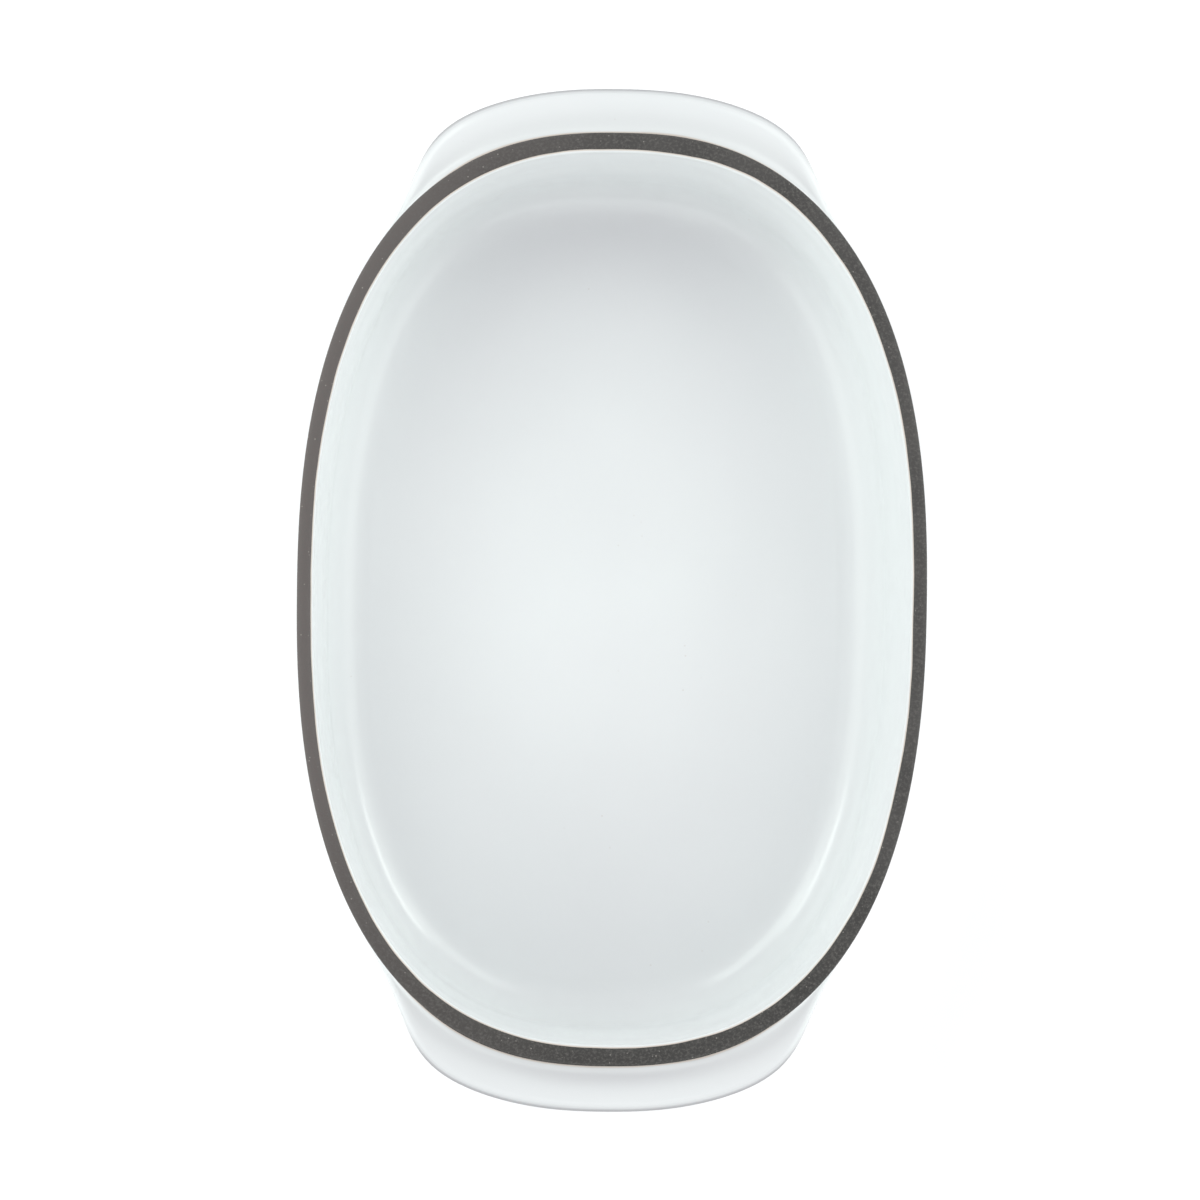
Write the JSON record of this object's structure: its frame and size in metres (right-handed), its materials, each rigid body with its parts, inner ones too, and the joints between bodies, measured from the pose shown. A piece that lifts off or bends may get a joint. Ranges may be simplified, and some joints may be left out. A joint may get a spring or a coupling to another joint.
{
  "type": "gratin dish",
  "caption": "Oval ceramic gratin dish with drafted walls, a bare rounded rim, a solid lug at each end, a gloss glaze inside and out, and a bare foot ring.",
  "frame": {"origin": "middle of the dish, on the surface that the foot ring stands on", "axes": "+Z up out of the open side, +Y along the long axis towards the back lug, +X across the width; the picture looks down from above with +Y up in the picture"},
  "size_m": [0.2104, 0.3402, 0.066],
  "materials": {
    "bare_clay": "matte",
    "white_glaze": "gloss"
  },
  "bodies": {
    "root": {"dish_body": "bare_clay", "foot_ring": "bare_clay", "front_lug": "bare_clay", "back_lug": "bare_clay", "inside_glaze": "white_glaze", "outside_glaze": "white_glaze", "base_glaze": "white_glaze"}
  },
  "joints": []
}
